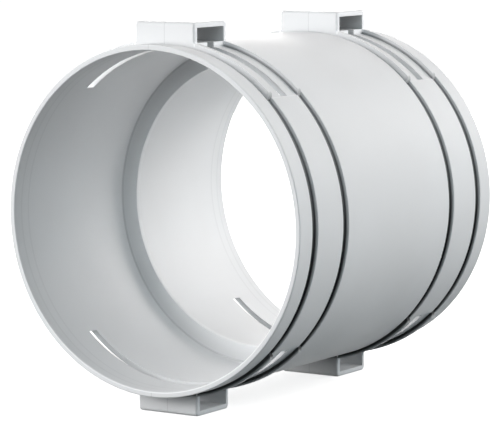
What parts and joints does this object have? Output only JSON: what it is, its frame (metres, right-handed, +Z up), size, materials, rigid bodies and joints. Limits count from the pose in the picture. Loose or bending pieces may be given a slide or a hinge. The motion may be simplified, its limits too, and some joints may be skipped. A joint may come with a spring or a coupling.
{
  "type": "duct connector",
  "caption": "Straight connector for round ventilation duct: a moulded tube with a socket at each end, an inner stop ring and clip collars with box-shaped loops.",
  "frame": {"origin": "on the duct axis, in the middle of the stop ring, which is the centre of the bounding box", "axes": "+Y along the duct axis out of the rear socket, +Z up through the clip loops on top, +X to the side"},
  "size_m": [0.097, 0.1052, 0.1086],
  "materials": {
    "white_plastic": "satin"
  },
  "bodies": {
    "root": {"connector_body": "white_plastic"}
  },
  "joints": []
}
